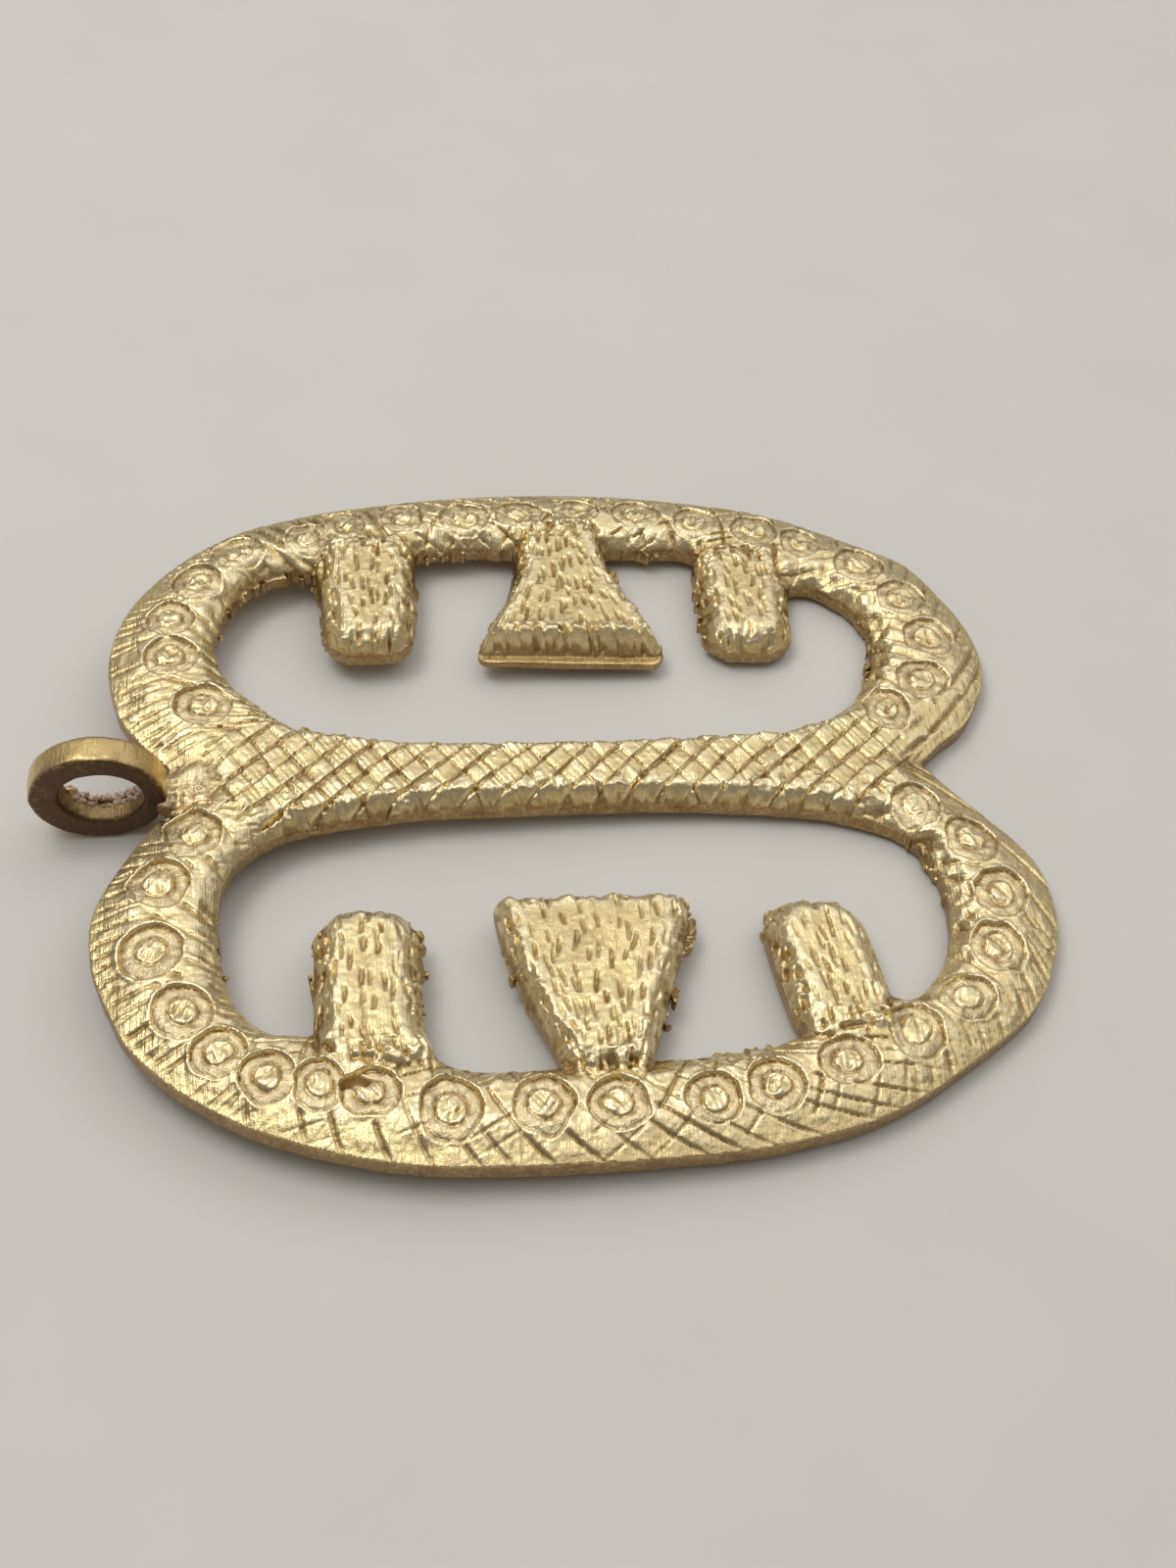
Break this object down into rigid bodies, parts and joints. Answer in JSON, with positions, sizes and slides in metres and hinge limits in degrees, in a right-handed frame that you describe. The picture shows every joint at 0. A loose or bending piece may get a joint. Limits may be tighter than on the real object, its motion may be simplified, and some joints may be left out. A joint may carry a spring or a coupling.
{
  "type": "adinkra pendant",
  "caption": "Cast brass pendant of stacked oval lobes on a shared crosshatched tongue bar, with teeth pointing at the bar and an upright bail ring.",
  "frame": {"origin": "on the flat back, in the middle of the pendant, under the tongue bar", "axes": "+X along the tongue bar away from the bail, +Y across the bar in the plane of the pendant, +Z out of the decorated front"},
  "size_m": [0.0903, 0.0786, 0.011],
  "materials": {
    "cast_brass": "satin cast brass, brushed by hand, with browner recesses",
    "bail_brass": "smoother brass, a shade darker and warmer than the casting"
  },
  "bodies": {
    "root": {"upper_lobe_band": "cast_brass", "lower_lobe_band": "cast_brass", "tongue_bar": "cast_brass", "upper_left_tooth": "cast_brass", "upper_middle_tooth": "cast_brass", "upper_right_tooth": "cast_brass", "lower_left_tooth": "cast_brass", "lower_middle_tooth": "cast_brass", "lower_right_tooth": "cast_brass", "bail_neck": "cast_brass", "bail_ring": "bail_brass"}
  },
  "joints": []
}
